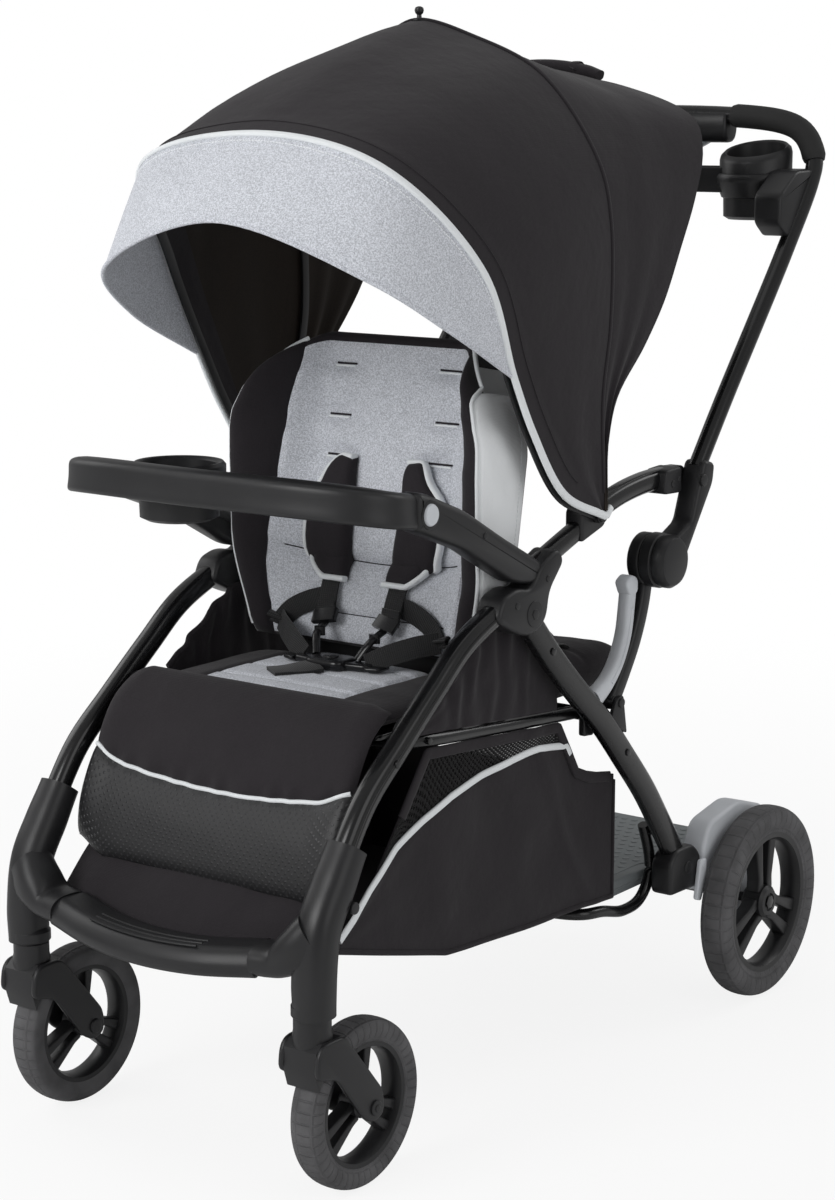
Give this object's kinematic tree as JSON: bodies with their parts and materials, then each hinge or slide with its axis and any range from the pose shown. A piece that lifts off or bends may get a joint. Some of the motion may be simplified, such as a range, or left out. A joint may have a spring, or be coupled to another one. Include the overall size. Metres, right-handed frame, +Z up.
{
  "type": "sit and stand stroller",
  "caption": "Folding tube-frame stroller with reclining seat, hooded canopy, trays, basket, rear bench and standing platform.",
  "frame": {"origin": "on the floor, in the middle of the stroller's length and width", "axes": "+Z up, -Y towards the front of the stroller, +X towards the near side of the picture"},
  "size_m": [0.532, 1.064, 1.2171],
  "materials": {
    "tyre_rubber": "matt foamed tyre",
    "black_plastic": "fine matt moulding texture",
    "grey_plastic": "fine matt moulding texture",
    "deck_plastic": "ribbed matt moulding",
    "black_tube": "satin black powder coat",
    "steel": "zinc plated",
    "foam_grip": "matt foam",
    "black_fabric": "plain weave",
    "grey_fabric": "melange weave",
    "webbing": "woven webbing"
  },
  "bodies": {
    "frame": {"front_leg_right": "black_tube", "front_leg_left": "black_tube", "front_housing_right": "black_plastic", "front_housing_left": "black_plastic", "knuckle_right": "black_plastic", "knuckle_left": "black_plastic", "arc_tube_right": "black_tube", "arc_tube_left": "black_tube", "armrest_right": "black_plastic", "armrest_left": "black_plastic", "side_panel_right": "black_fabric", "side_panel_left": "black_fabric", "footrest_bar": "black_plastic", "seat_frame": "black_tube", "seat_pad": "grey_fabric", "calf_pad": "black_fabric", "basket": "black_fabric", "waist_belt": "webbing"},
    "caster_right": {"caster_fork_right": "black_plastic"},
    "caster_left": {"caster_fork_left": "black_plastic"},
    "front_wheel_right": {"front_tyre_right": "tyre_rubber", "front_rim_right": "black_plastic"},
    "front_wheel_left": {"front_tyre_left": "tyre_rubber", "front_rim_left": "black_plastic"},
    "rear_frame": {"rear_leg_right": "black_tube", "rear_leg_left": "black_tube", "grab_arm_right": "grey_plastic", "grab_arm_left": "grey_plastic", "rear_bench": "black_fabric", "rear_axle": "steel", "standing_platform": "deck_plastic", "rear_hoop": "black_tube"},
    "rear_wheel_right": {"rear_tyre_right": "tyre_rubber", "rear_rim_right": "black_plastic"},
    "rear_wheel_left": {"rear_tyre_left": "tyre_rubber", "rear_rim_left": "black_plastic"},
    "brake_right": {"brake_lever_right": "grey_plastic"},
    "brake_left": {"brake_lever_left": "grey_plastic"},
    "lower_arms": {"lower_arm_right": "black_plastic", "lower_arm_left": "black_plastic"},
    "handle": {"handle_sleeve_right": "black_plastic", "handle_sleeve_left": "black_plastic", "grip_right": "foam_grip", "grip_left": "foam_grip", "handle_tube": "black_tube", "handle_console": "black_plastic", "parent_tray": "black_plastic"},
    "trigger": {"fold_trigger": "grey_plastic"},
    "backrest": {"backrest_pad": "grey_fabric", "backrest_board": "black_plastic", "harness_strap_right": "webbing", "harness_strap_left": "webbing"},
    "canopy_middle": {"mid_bow": "black_plastic", "canopy_front": "black_fabric", "canopy_rear": "black_fabric"},
    "canopy_front_bow": {"front_bow": "black_plastic", "canopy_brim": "grey_fabric"},
    "tray": {"child_tray": "black_plastic"},
    "button_right": {"tray_button_right": "grey_plastic"},
    "button_left": {"tray_button_left": "grey_plastic"}
  },
  "joints": [
    {"name": "handle_fold", "type": "hinge", "parent": "frame", "child": "handle", "pos_m": [0, 0.222, 0.682], "axis": [1, 0, 0], "range_deg": [0, 22]},
    {"name": "rear_frame_fold", "type": "hinge", "parent": "frame", "child": "rear_frame", "pos_m": [0, -0.112, 0.57], "axis": [1, 0, 0], "range_deg": [0, 1.1]},
    {"name": "lower_arm_fold", "type": "hinge", "parent": "rear_frame", "child": "lower_arms", "pos_m": [0, 0.084, 0.431], "axis": [1, 0, 0], "range_deg": [-14.7, 0]},
    {"name": "trigger_squeeze", "type": "slide", "parent": "handle", "child": "trigger", "axis": [0, 0, 1], "range_m": [0, 0.005], "stiffness_N_per_m": 400},
    {"name": "backrest_recline", "type": "hinge", "parent": "frame", "child": "backrest", "pos_m": [0, -0.118, 0.462], "axis": [1, 0, 0], "range_deg": [-30, 0]},
    {"name": "canopy_open", "type": "hinge", "parent": "frame", "child": "canopy_middle", "pos_m": [0, 0.024, 0.662], "axis": [1, 0, 0], "range_deg": [-28, 0], "deforming": ["canopy_front", "canopy_rear"]},
    {"name": "canopy_brim_swing", "type": "hinge", "parent": "canopy_middle", "child": "canopy_front_bow", "pos_m": [0, 0.024, 0.662], "axis": [1, 0, 0], "range_deg": [-17, 0]},
    {"name": "tray_pull_off", "type": "slide", "parent": "frame", "child": "tray", "axis": [0, -1, 0], "range_m": [0, 0.06]},
    {"name": "caster_swivel_right", "type": "hinge", "parent": "frame", "child": "caster_right", "pos_m": [0.202, -0.482, 0.25], "axis": [0, 0, 1], "continuous": true},
    {"name": "front_wheel_spin_right", "type": "hinge", "parent": "caster_right", "child": "front_wheel_right", "pos_m": [0.202, -0.412, 0.092], "axis": [1, 0, 0], "continuous": true},
    {"name": "rear_wheel_spin_right", "type": "hinge", "parent": "rear_frame", "child": "rear_wheel_right", "pos_m": [0.247, 0.368, 0.123], "axis": [1, 0, 0], "continuous": true},
    {"name": "brake_pedal_right", "type": "hinge", "parent": "rear_frame", "child": "brake_right", "pos_m": [0.2236, 0.262, 0.192], "axis": [1, 0, 0], "range_deg": [0, 18]},
    {"name": "tray_button_press_right", "type": "slide", "parent": "frame", "child": "button_right", "axis": [-1, 0, 0], "range_m": [0, 0.003], "stiffness_N_per_m": 600},
    {"name": "caster_swivel_left", "type": "hinge", "parent": "frame", "child": "caster_left", "pos_m": [-0.202, -0.482, 0.25], "axis": [0, 0, 1], "continuous": true},
    {"name": "front_wheel_spin_left", "type": "hinge", "parent": "caster_left", "child": "front_wheel_left", "pos_m": [-0.202, -0.412, 0.092], "axis": [1, 0, 0], "continuous": true},
    {"name": "rear_wheel_spin_left", "type": "hinge", "parent": "rear_frame", "child": "rear_wheel_left", "pos_m": [-0.247, 0.368, 0.123], "axis": [1, 0, 0], "continuous": true},
    {"name": "brake_pedal_left", "type": "hinge", "parent": "rear_frame", "child": "brake_left", "pos_m": [-0.2236, 0.262, 0.192], "axis": [1, 0, 0], "range_deg": [0, 18]},
    {"name": "tray_button_press_left", "type": "slide", "parent": "frame", "child": "button_left", "axis": [1, 0, 0], "range_m": [0, 0.003], "stiffness_N_per_m": 600}
  ],
  "couplings": [
    {"joint": "rear_frame_fold", "follows": "handle_fold", "ratio": 0.05},
    {"joint": "lower_arm_fold", "follows": "handle_fold", "ratio": -0.668},
    {"joint": "canopy_brim_swing", "follows": "canopy_open", "ratio": 0.6},
    {"joint": "brake_pedal_left", "follows": "brake_pedal_right", "ratio": 1}
  ]
}
